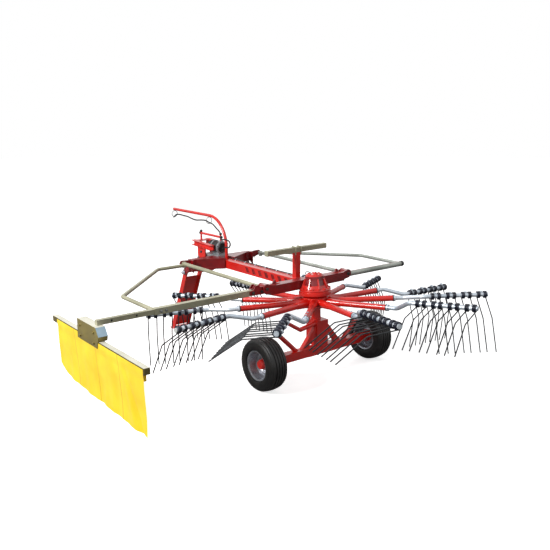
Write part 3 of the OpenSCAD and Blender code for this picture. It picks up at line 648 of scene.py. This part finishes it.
def leanAt(z):   # the cloth hangs from the rail's outer wall, and this far out of its plane
    share = min(1, max(0, (z - curtain["leanFrom"]) / curtain["leanOver"]))
    return -curtain["lean"] * share * share * (3 - 2 * share)


def topAlong(u):   # y along the cloth's top edge
    return curtain["rear"][0] + u * (curtain["front"][0] - curtain["rear"][0])


def mapCloth(bm):   # the cloth's own coordinates, in metres
    uvLayer = bm.loops.layers.uv.new("cloth")
    for face in bm.faces:
        for loop in face.loops:
            loop[uvLayer].uv = (loop.vert.co.y - rotor["y"] - curtain["rear"][0], loop.vert.co.z)


def sewHem():   # the cloth's outer layer: it lies on the rail's side and runs down to the cloth
    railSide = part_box("curtain_rail")[0].x
    plane = middle("curtain").x
    bm = bmesh.new()
    rows = []
    for x, z in ((railSide - 0.0008, curtain["hemTop"]), (railSide - 0.0010, 0.585),
                 (railSide - 0.0006, 0.566), (plane + leanAt(0.548) - 0.0030, 0.548),
                 (plane + leanAt(0.53) - 0.0016, 0.53)):
        line = []
        for i in range(curtain["columns"] + 1):
            u = i / curtain["columns"]
            fold = foldAt(u, (z - curtain["bottom"]) / curtain["height"])
            outward = min(0, fold) if z > curtain["hemFlat"] else fold
            line.append(bm.verts.new((x + outward, rotor["y"] + topAlong(u), z)))
        first, last = line[0].co, line[-1].co
        rows.append([bm.verts.new((plane, first.y, z))] + line + [bm.verts.new((plane, last.y, z))])
    for upper, lower in zip(rows, rows[1:]):
        for corners in zip(upper, upper[1:], lower[1:], lower):
            bm.faces.new(corners)
    mapCloth(bm)
    bmesh.ops.solidify(bm, geom=bm.faces, thickness=-curtain["hemThickness"])
    return finishPiece(bm, "curtain_hem", "cloth", "curtain_slide")


def hangCurtain():
    low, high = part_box("curtain")
    plane = middle("curtain").x
    bm = bmesh.new()
    bmesh.ops.create_grid(bm, x_segments=curtain["columns"], y_segments=curtain["rows"], size=0.5)
    for v in bm.verts:
        u, w = v.co.x + 0.5, v.co.y + 0.5     # u runs forward, w runs up
        bottomY = curtain["rear"][1] + u * (curtain["front"][1] - curtain["rear"][1])
        bottom = lowerEdge(bottomY)
        y = bottomY + (topAlong(u) - bottomY) * w
        v.co = Vector((0, rotor["y"] + y, bottom + (high.z - bottom) * w))
        near = abs((u * cloth["panels"] + 0.5) % 1 - 0.5) * cloth["panel"]
        seam = curtain["seamDip"] if near < cloth["seam"] / 2 else 0
        v.co.x = plane + leanAt(v.co.z) + foldAt(u, w) - seam
    area = sum(face.calc_area() for face in bm.faces)
    mapCloth(bm)
    bmesh.ops.solidify(bm, geom=bm.faces, thickness=curtain["thickness"])
    piece = finishPiece(bm, "curtain_cloth", "cloth", "curtain_slide")
    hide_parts("curtain")
    sewHem()


hangCurtain()
print("curtain hung")


# Curtain rail and bracket: painted highlight and painted shade by the way a face looks, end caps and bolts
def bracketLitAndShaded(face):   # painted highlight on top, painted shade in blue on the front slopes, and yellow elsewhere
    if face.normal.z > 0.9:
        return 1
    return 2 if face.normal.y < -0.5 and face.normal.z > 0.1 else 0


paintFaces("curtain_bracket", ("zincYellow", "zincHighlight", "zincShadeBlue"), bracketLitAndShaded)
# the rail's faces that look up take a painted highlight, its sides a painted shade
paintFaces("curtain_rail", ("zincHighlight", "zincYellowShade"), lambda face: face.normal.z <= 0.5)
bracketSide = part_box("curtain_bracket")[0].x
bm = bmesh.new()
for y in (0.12, 0.33):
    for z in (0.59, 0.66):
        fasten(bm, bolt, Vector((bracketSide, rotor["y"] + y, z)), (-1, 0, 0), 0.9)
finishPiece(bm, "bracket_bolts", "zincYellow", "curtain_slide")

railLow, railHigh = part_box("curtain_rail")
railMiddle = middle("curtain_rail")
capSize = (railHigh.x - railLow.x - 0.002, 0.006, railHigh.z - railLow.z - 0.006)
bm = bmesh.new()
for y, out in ((railLow.y, -1), (railHigh.y, 1)):
    softBox(bm, (railMiddle.x, y + out * 0.002, railMiddle.z), capSize, 0.06)
# the end caps take the darker zinc, as painted shade
finishPiece(bm, "rail_caps", "zincYellowShade", "curtain_slide")
print("rail and bracket dressed")


# Left guard: plugs in the slide tube's holes, and a bolt and a nut that clamp the tube in the arm
hinge = {"x": 0.432, "y": 0.138, "z": 0.731, "pinEnd": 0.048, "front": 1.348, "eyeHalf": 0.034,
         "eyeReach": 0.036, "gussetZ": 0.7385}
arm = {"z": 0.716, "half": 0.022}   # the guards' rear arms run through the hinge's y at this height
clampDown = 0.017   # how far the clamp's bolts lie below the slide tube's top
plugOutline = [(0, -0.001), (0.0075, -0.001), (0.0075, 0.0001), (0.0068, 0.0003), (0, 0.0003)]
tubeLow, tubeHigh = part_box("slide_tube")
bm = bmesh.new()
for x in (-1.686, -1.509):
    spot = Vector((rotor["x"] + x, tubeLow.y, middle("slide_tube").z))
    turned(bm, plugOutline, facing(spot, (0, -1, 0)), 20)
finishPiece(bm, "slide_plugs", "plastic", "curtain_slide")
bm = bmesh.new()
for shape, x, size in ((nut, -1.33, 1.1), (bolt, -1.29, 1.0)):
    fasten(bm, shape, at(x, hinge["y"] - arm["half"], tubeHigh.z - clampDown), (0, -1, 0), size)
finishPiece(bm, "slide_clamp", "steel", "left_guard")


# Guards: pin heads at the rear, washers with clips at the front, welds, and eyes in the cross-beam's red,
# darkened as painted shade
pinHead = [(0, -0.004), (0.0125, -0.004), (0.0125, 0.001), (0.011, 0.0025), (0, 0.0025)]
pinWasher = [(0.0095, -0.003), (0.0165, -0.003), (0.0165, 0.0), (0.0095, 0.0)]
pinClip = [Vector((0, 0.0005, -0.018)), Vector((0, 0.0005, 0.018))]
cornerWeld = {"y": 1.30, "across": 0.017, "up": 0.0165, "radius": 0.0024}


def onEye(face, eye):   # a guard's eye and its gusset, which are painted red, darkened as painted shade
    fromPin = hypot(face.center.x - eye.x, face.center.z - eye.z)
    return abs(face.center.y - eye.y) < hinge["eyeHalf"] and (
        fromPin < hinge["eyeReach"] or face.center.z > hinge["gussetZ"])


for side, out, key in (("left", -1, "zincOlive"), ("right", 1, "zincGrey")):
    bm = bmesh.new()
    rear = at(out * hinge["x"], hinge["y"] - hinge["pinEnd"], hinge["z"])
    turned(bm, pinHead, facing(rear, (0, -1, 0)), 28)
    spot = at(out * hinge["x"], hinge["front"] + 0.004, hinge["z"])
    turned(bm, pinWasher, facing(spot, (0, 1, 0)), 28, True)
    tube(bm, [spot + end for end in pinClip], 0.0022, 8)
    finishPiece(bm, f"{side}_hinge_pins", "ironDark", f"{side}_guard")
    bm = bmesh.new()
    corner = at(out * hinge["x"], cornerWeld["y"], arm["z"])
    tube(bm, wireRing(corner, (out * cornerWeld["across"], 0, 0), (0, 0, cornerWeld["up"])),
         cornerWeld["radius"], 6)
    finishPiece(bm, f"{side}_guard_welds", key, f"{side}_guard")
    eye = at(out * hinge["x"], hinge["y"], hinge["z"])
    paintFaces(f"{side}_guard", (key, "shadedRed"), lambda face: onEye(face, eye))

# Left arm: the two tapered plates that carry its inner end to the eye, in red darkened as painted shade, with
# their bolts
socket = {"outline": [(0.455, 0.6955), (0.492, 0.6945), (0.585, 0.7035), (0.585, 0.7285), (0.552, 0.7385),
                      (0.532, 0.7700), (0.508, 0.7700), (0.492, 0.7560), (0.455, 0.7540)],
          "thickness": 0.006, "boltX": (0.475, 0.555), "boltSize": 1.2}
bm = bmesh.new()
for y in (hinge["y"] - arm["half"], hinge["y"] + arm["half"] + socket["thickness"]):
    skin(bm, [[bm.verts.new(at(-x, y - step, z)) for x, z in socket["outline"]]
              for step in (0, socket["thickness"])])
finishPiece(bm, "arm_socket_plates", "shadedRed", "left_guard", smooth=False)
bm = bmesh.new()
for x in socket["boltX"]:
    for shape, way in ((bolt, -1), (nut, 1)):
        spot = at(-x, hinge["y"] + way * (arm["half"] + socket["thickness"]), arm["z"])
        fasten(bm, shape, spot, (0, way, 0), socket["boltSize"])
finishPiece(bm, "arm_socket_bolts", "ironDark", "left_guard")

# Right arm: the cap on its outer end
armCap = {"over": 0.004, "outline": [(0, 0), (0.0205, 0), (0.0232, 0.002), (0.0245, 0.006), (0.0245, 0.032),
                                     (0.0232, 0.034), (0.0231, 0.034)]}
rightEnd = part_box("right_guard")[1].x
spot = Vector((rightEnd + armCap["over"], rotor["y"] + hinge["y"], arm["z"]))
bm = bmesh.new()
turned(bm, armCap["outline"], facing(spot, (-1, 0, 0)), 40)
finishPiece(bm, "right_arm_cap", "plastic", "right_guard")
print("guards dressed")


# Rotor gearbox: bolts around its flange and its lid, a filler plug, and painted shade between its ribs
gearbox = {"lid": 0.2205, "plugY": -0.012, "front": 0.085,
           "cone": (0.030, 0.088), "coneUp": (0.13, 0.207)}   # radius and height of the cone between its ribs
gearboxBolts = [(14, 0.114, 0.1096, 0.001, 0.5, 1.1),
                (6, 0.046, gearbox["lid"], 0, 0, 0.85)]   # count, circle, height, sunk by, start and size
plugTop = [(0, 0), (0.018, 0), (0.018, 0.008), (0.014, 0.011), (0.006, 0.011), (0.006, 0.017), (0, 0.019)]


def shadeBetweenRibs(face):   # the cone of the rotor gearbox between its ribs, which gets painted shade
    spot = rotorAxis.inverted() @ face.center
    turn = rotorAxis.to_3x3().inverted() @ face.normal
    out = hypot(spot.x, spot.y)
    onCone = gearbox["cone"][0] < out < gearbox["cone"][1]
    upright = gearbox["coneUp"][0] < spot.z < gearbox["coneUp"][1]
    return onCone and upright and (turn.x * spot.x + turn.y * spot.y) / out > 0.5


paintFaces("rotor_gearbox", ("red", "shadedRed"), shadeBetweenRibs)
bm = bmesh.new()
for count, circle, height, sunk, start, size in gearboxBolts:
    for across, up in roundPlaces(count, circle, start):
        spot = rotorAxis @ Vector((across, up, height))
        if spot.y - rotor["y"] < gearbox["front"]:   # the beam covers what lies further on
            fasten(bm, bolt, spot - Vector((0, 0, sunk)), rotorUp, size)
plug = rotorAxis @ Vector((0, gearbox["plugY"], gearbox["lid"]))
turned(bm, plugTop, facing(plug, rotorUp), 28)
finishPiece(bm, "gearbox_bolts", "red", "frame")
print("gearbox dressed")


# Main beam: its pressed pockets get painted shade, the darker red
beamLow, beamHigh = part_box("main_beam")
pocket = {"sideIn": 0.0004, "edgeIn": 0.005}


def pocketShade(face):
    spot = face.center
    return (beamLow.x + pocket["sideIn"] < spot.x < beamHigh.x - pocket["sideIn"]
            and beamLow.y + pocket["edgeIn"] < spot.y < beamHigh.y - pocket["edgeIn"]
            and beamLow.z + pocket["edgeIn"] < spot.z < beamHigh.z - pocket["edgeIn"])


paintFaces("main_beam", ("red", "shadedRed"), pocketShade)

# Cross-beam: a lifting ring in its bracket
crossHigh = 0.748
ringSpot = at(0.052, 0.155, crossHigh + 0.006)
lifting = {"radius": 0.030, "lean": radians(35), "wire": 0.004, "bar": 0.005,
           "bracket": [(-0.018, -0.006), (-0.018, 0.004), (0.018, 0.004), (0.018, -0.006)]}
leanUp = lifting["radius"] * Vector((0, cos(lifting["lean"]), sin(lifting["lean"])))
bm = bmesh.new()
ring = wireRing(ringSpot + Vector((0, 0.012, 0.012)), (lifting["radius"], 0, 0), leanUp, 32)
tube(bm, ring, lifting["wire"], 8)
tube(bm, [ringSpot + Vector((x, -0.012, z)) for x, z in lifting["bracket"]], lifting["bar"], 8)
finishPiece(bm, "lifting_ring", "steel", "frame")

# Welds of the frame
postLow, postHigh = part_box("rest_post")
postCorners = [(postLow.x, postLow.y), (postHigh.x, postLow.y), (postHigh.x, postHigh.y),
               (postLow.x, postHigh.y)]
rearFace = beamLow.y + 0.001
bm = bmesh.new()
for a, b in zip(postCorners, postCorners[1:] + postCorners[:1]):
    weld(bm, Vector((*a, beamHigh.z + 0.001)), Vector((*b, beamHigh.z + 0.001)), 0.0035)
for x in (beamLow.x, beamHigh.x):
    weld(bm, Vector((x, rearFace, 0.678)), Vector((x, rearFace, beamHigh.z)), 0.004)
weld(bm, Vector((beamLow.x, rearFace, beamHigh.z)), Vector((beamHigh.x, rearFace, beamHigh.z)), 0.004)
for x in (-0.332, 0.332):   # the hinge ears' gussets
    for side in (-0.005, 0.005):
        y = hinge["y"] + side
        weld(bm, at(x - 0.054, y, crossHigh), at(x + 0.054, y, crossHigh), 0.0028)
for x in (-0.0745, 0.0745, -0.0615, 0.0615):   # both sides of the mast's cheeks
    weld(bm, at(x, 1.512, 0.667), at(x, 1.637, 0.667), 0.0032)
for out in (-1, 1):   # the chassis' head and braces
    for z in (0.1705, 0.2355):
        weld(bm, at(out * 0.05, -0.0675, z), at(out * 0.155, -0.0675, z), 0.0026)
    weld(bm, at(out * 0.15, -0.052, 0.237), at(out * 0.21, -0.052, 0.237), 0.0035)
finishPiece(bm, "frame_welds", "red", "frame")

# Main beam: a pipe along its top, held by clips
pipe = {"x": 0.034, "radius": 0.0045, "clips": 6, "firstClip": 0.40, "clipPitch": 0.15,
        "route": [(1.285, 0.742), (1.24, 0.7365), (1.15, 0.736), (0.9, 0.736), (0.6, 0.736), (0.4, 0.7362),
                  (0.33, 0.738), (0.30, 0.7345)]}
clip = {"z": 0.7355, "radius": 0.0065, "wire": 0.0018, "footZ": 0.7312, "boltX": -0.014, "boltZ": 0.7298}
bm = bmesh.new()
tube(bm, smoothPath([at(pipe["x"], y, z) for y, z in pipe["route"]]), pipe["radius"])
finishPiece(bm, "beam_pipe", "hose", "frame")
bm = bmesh.new()
for i in range(pipe["clips"]):
    y = pipe["firstClip"] + i * pipe["clipPitch"]
    arch = wireRing(at(pipe["x"], y, clip["z"]), (clip["radius"], 0, 0), (0, 0, clip["radius"]), 12)[:7]
    feet = [at(pipe["x"] + x, y, clip["footZ"]) for x in (0.020, -0.010)]
    tube(bm, feet[:1] + arch + feet[1:], clip["wire"], 6)
    fasten(bm, bolt, at(pipe["x"] + clip["boltX"], y, clip["boltZ"]), (0, 0, 1), 0.5)
finishPiece(bm, "pipe_clips", "zincBright", "frame")
print("beams dressed")


# Transport rest: a cap in each end of its bar, and two straps that hold the bar on its post
rest = {"cap": (0.012, 0.042, 0.042), "straps": (-0.028, 0.028), "wire": 0.004,
        "strap": [(-0.0245, -0.040), (-0.0245, 0.019), (-0.0215, 0.0245)]}   # half of its line, as (y, z)
restLow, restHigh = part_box("rest_bar")
restMiddle = middle("rest_bar")
bm = bmesh.new()
for x, out in ((restLow.x, -1), (restHigh.x, 1)):
    softBox(bm, (x + out * 0.002, restMiddle.y, restMiddle.z), rest["cap"], 0.12)
finishPiece(bm, "rest_caps", "zincOlive", "frame")
bm = bmesh.new()
outline = rest["strap"] + [(-y, z) for y, z in reversed(rest["strap"])]
for x in rest["straps"]:
    tube(bm, [restMiddle + Vector((x, y, z)) for y, z in outline], rest["wire"], 8)
finishPiece(bm, "rest_straps", "zincOlive", "frame")
print("rest dressed")


# Hitch: linch pins with their rings, and a collar on each link pin
linch = {"in": 0.014, "low": -0.026, "high": 0.030, "radius": 0.0042, "ring": 0.019, "wire": 0.002,
         "collarIn": 0.071}
collar = [(0.0135, 0), (0.022, 0), (0.022, 0.004), (0.0135, 0.004)]
linkLow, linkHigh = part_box("link_pins")
linkMiddle = middle("link_pins")
bm = bmesh.new()
for x, out in ((linkLow.x, -1), (linkHigh.x, 1)):
    pin = Vector((x - out * linch["in"], linkMiddle.y, linkMiddle.z))
    tube(bm, [pin + Vector((0, 0, z)) for z in (linch["low"], linch["high"])], linch["radius"])
    ringMiddle = pin + Vector((out * 0.0035, 0, 0.014))
    tube(bm, wireRing(ringMiddle, (0, 0, linch["ring"]), (0, linch["ring"], 0)), linch["wire"], 6)
    seat = Vector((x - out * linch["collarIn"], linkMiddle.y, linkMiddle.z))
    turned(bm, collar, facing(seat, (out, 0, 0)), 32, True)
finishPiece(bm, "linch_pins", "zincBright", "frame")

# Drive shaft: six splines, and the groove where the yoke's lock snaps in
spline = {"teeth": 6}
spline["flanks"] = [(0.0, 0.0145), (0.26, 0.0145), (0.32, 0.0175), (0.68, 0.0175),
                    (0.74, 0.0145)]   # share of a tooth's turn, and radius
spline["stations"] = [(0.034, 1.0), (0.032, 0.8), (0.026, 0.8), (0.024, 1.0), (0.003, 1.0),
                      (0.0, 0.86)]   # how far before the shaft's end, and share of its size
shaftLow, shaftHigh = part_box("pto_shaft")
shaft = middle("pto_shaft")
profile = []
for i in range(spline["teeth"]):
    for share, r in spline["flanks"]:
        turn = 2 * pi * (i + share) / spline["teeth"]
        profile.append((r * cos(turn), r * sin(turn)))
stations = [(shaftLow.y, 1.0)] + [(shaftHigh.y - before, size) for before, size in spline["stations"]]
bm = bmesh.new()
skin(bm, [[bm.verts.new((shaft.x + x * size, y, shaft.z + z * size)) for x, z in profile]
          for y, size in stations])
piece = finishPiece(bm, "pto_splined", "steel", "frame")
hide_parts("pto_shaft")

# Drive gearbox: a black cover round its drum, the shaft's open guard, and a cover on its rear
drum = {"rear": 1.3222, "front": 1.342, "guardAt": 1.4505, "z": 0.825}
drumSide, drumBand = 0.0548, 0.0573   # radius of the drum's cover, and of its two raised bands
drumCover = [(drumSide - 0.002, 0), (drumSide, 0.001), (drumSide, 0.012), (drumBand, 0.014),
             (drumBand, 0.020), (drumSide, 0.022), (drumSide, 0.064), (drumBand, 0.066), (drumBand, 0.072),
             (drumSide, 0.074), (drumSide, 0.085), (drumSide - 0.002, 0.086)]
shaftGuard = [(0.040, 0), (0.046, 0), (0.050, 0.006), (0.0560, 0.042), (0.0538, 0.042), (0.0475, 0.006),
              (0.040, 0.003)]
rearCover = [(0, 0.004), (0.030, 0.004), (0.036, 0.009), (0.044, 0.009), (0.047, 0.005), (0.047, 0), (0, 0)]
bm = bmesh.new()
turned(bm, drumCover, facing(at(0, drum["front"], drum["z"]), (0, 1, 0)), 64, True)
turned(bm, shaftGuard, facing(at(0, drum["guardAt"], drum["z"]), (0, 1, 0)), 64, True)
turned(bm, rearCover, facing(at(0, drum["rear"], drum["z"]), (0, -1, 0)), 48)
finishPiece(bm, "drive_guard", "plastic", "frame")

# Bolts on both sides of the drive gearbox's foot and of the mast, and around the drum's rear
sideBolts = [(bolt, 0.058, 1.328, 0.735, 1.1), (bolt, 0.058, 1.376, 0.735, 1.1),
             (bolt, 0.058, 1.424, 0.735, 1.1), (nut, 0.074, 1.53, 0.70, 1.2), (nut, 0.074, 1.62, 0.70, 1.2),
             (nut, 0.074, 1.575, 0.76, 1.2)]   # shape, x, y, z and size
bm = bmesh.new()
for shape, x, y, z, size in sideBolts:
    for out in (-1, 1):
        fasten(bm, shape, at(out * x, y, z), (out, 0, 0), size)
for across, up in roundPlaces(8, 0.0575, 0.5):
    fasten(bm, bolt, at(across, 1.3282, drum["z"] + up), (0, -1, 0), 0.45)
finishPiece(bm, "hitch_bolts", "steel", "frame")

# Release lever: a cap on each of its posts, and a knob on each end of its bar
postCap = [(0, -0.006), (0.010, -0.006), (0.013, -0.001), (0.0135, 0.006), (0.011, 0.0115), (0.006, 0.0145),
           (0, 0.0155)]
barKnob = [(0.0105, -0.020), (0.0132, -0.019), (0.0132, 0.0), (0.011, 0.003), (0, 0.004)]
bm = bmesh.new()
for y, z in ((1.350, 0.949), (1.685, 0.939)):
    turned(bm, postCap, facing(at(0, y, z), (0, 0, 1)), 28)
for y, way in ((1.332, -1), (1.703, 1)):
    turned(bm, barKnob, facing(at(0, y, 0.922), (0, way, 0)), 28)
finishPiece(bm, "lever_knobs", "plastic", "frame")
print("hitch dressed")


# Parking stand: nuts on its pin, and a lock pin with its ring
stand = {"x": -0.235, "y": 1.470, "z": 0.612, "nutAt": 0.1028, "nutSize": 1.9}
lockPin = {"length": 0.03, "radius": 0.005, "ring": 0.016, "wire": 0.002}
bm = bmesh.new()
for out in (-1, 1):
    spot = at(stand["x"] + out * stand["nutAt"], stand["y"], stand["z"])
    fasten(bm, nut, spot, (out, 0, 0), stand["nutSize"])
finishPiece(bm, "stand_nuts", "zincBright", "stand")
lock = at(stand["x"] - 0.112, stand["y"] - 0.012, stand["z"] + 0.052)
ringMiddle = lock + Vector((-0.004, 0, -0.014))
bm = bmesh.new()
tube(bm, [lock, lock + Vector((lockPin["length"], 0, 0))], lockPin["radius"])
tube(bm, wireRing(ringMiddle, (0, 0, lockPin["ring"]), (0, lockPin["ring"], 0)), lockPin["wire"], 6)
finishPiece(bm, "stand_lock_pin", "zincBright", "frame")
print("stand dressed")


# Chassis: four bolts at each end of the axle, and a round pin on each strut
chassis = {"flangeX": 0.462, "boltCircle": 0.024, "pinX": 0.430, "pinZ": 0.3995}
strutPin = [(0, -0.030), (0.011, -0.030), (0.013, -0.028), (0.013, 0.028), (0.011, 0.030), (0, 0.030)]
bm = bmesh.new()
for out in (-1, 1):
    for across, up in roundPlaces(4, chassis["boltCircle"], 0.5):
        spot = at(out * chassis["flangeX"], -axle["back"] + across, axle["z"] + up)
        fasten(bm, bolt, spot, (out, 0, 0), 0.9)
    turned(bm, strutPin, facing(at(out * chassis["pinX"], -axle["back"], chassis["pinZ"]), (0, 1, 0)), 28)
finishPiece(bm, "chassis_bolts", "steel", "frame")
print("chassis dressed")


# Studio: a pale floor that runs into a white surround, a soft key from the left, and weak fill
def areaLight(name, place, size, power):
    data = bpy.data.lights.new(name, "AREA")
    data.shape = "DISK"
    data.size = size
    data.energy = power
    lamp = addObject(name, data)
    lamp.location = Vector(place)
    lamp.rotation_euler = (Vector((0, 0, 0.5)) - lamp.location).to_track_quat("-Z", "Y").to_euler()


areaLight("key", (-6.4, 0.6, 4.6), 2.0, 560)
areaLight("fill", (1.5, -6.5, 4.5), 4.0, 40)
areaLight("rim", (3.5, 5.0, 5.0), 3.0, 60)
studio = {"sky": "#ffffff", "skyShade": 0.34, "floorLit": "#8d8d8d", "floorSeen": "#f4f4f4",
          "floorGlow": 0.72, "floorSpecular": 0.1, "floorRadius": 40, "floorDown": 0.0005}
world = bpy.data.worlds.new("surround")
bpy.context.scene.world = world
world.use_nodes = True
tree = world.node_tree
sky = tree.nodes["Background"]
rays = addNode(tree, "ShaderNodeLightPath")
setInputs(tree, sky, {"Color": linear(studio["sky"]),
                      "Strength": between(tree, rays.outputs["Is Diffuse Ray"], 1.0, studio["skyShade"])})

floorMaterial, tree, shader, coords = newMaterial("studioFloor", 0.9)
seen = addNode(tree, "ShaderNodeLightPath").outputs["Is Camera Ray"]
setInputs(tree, shader, {
    "Base Color": mixColours(tree, seen, linear(studio["floorLit"]), linear(studio["floorSeen"])),
    "Emission Color": (1, 1, 1, 1),
    "Emission Strength": between(tree, seen, 0.0, studio["floorGlow"]),
    "Specular IOR Level": studio["floorSpecular"]})
bm = bmesh.new()
bmesh.ops.create_circle(bm, cap_ends=True, segments=64, radius=studio["floorRadius"])
floorMesh = bpy.data.meshes.new("floor")
bm.to_mesh(floorMesh)
bm.free()
floorMesh.materials.append(floorMaterial)
floor = addObject("floor", floorMesh)
floor.location.z = -studio["floorDown"]
print("studio lit")
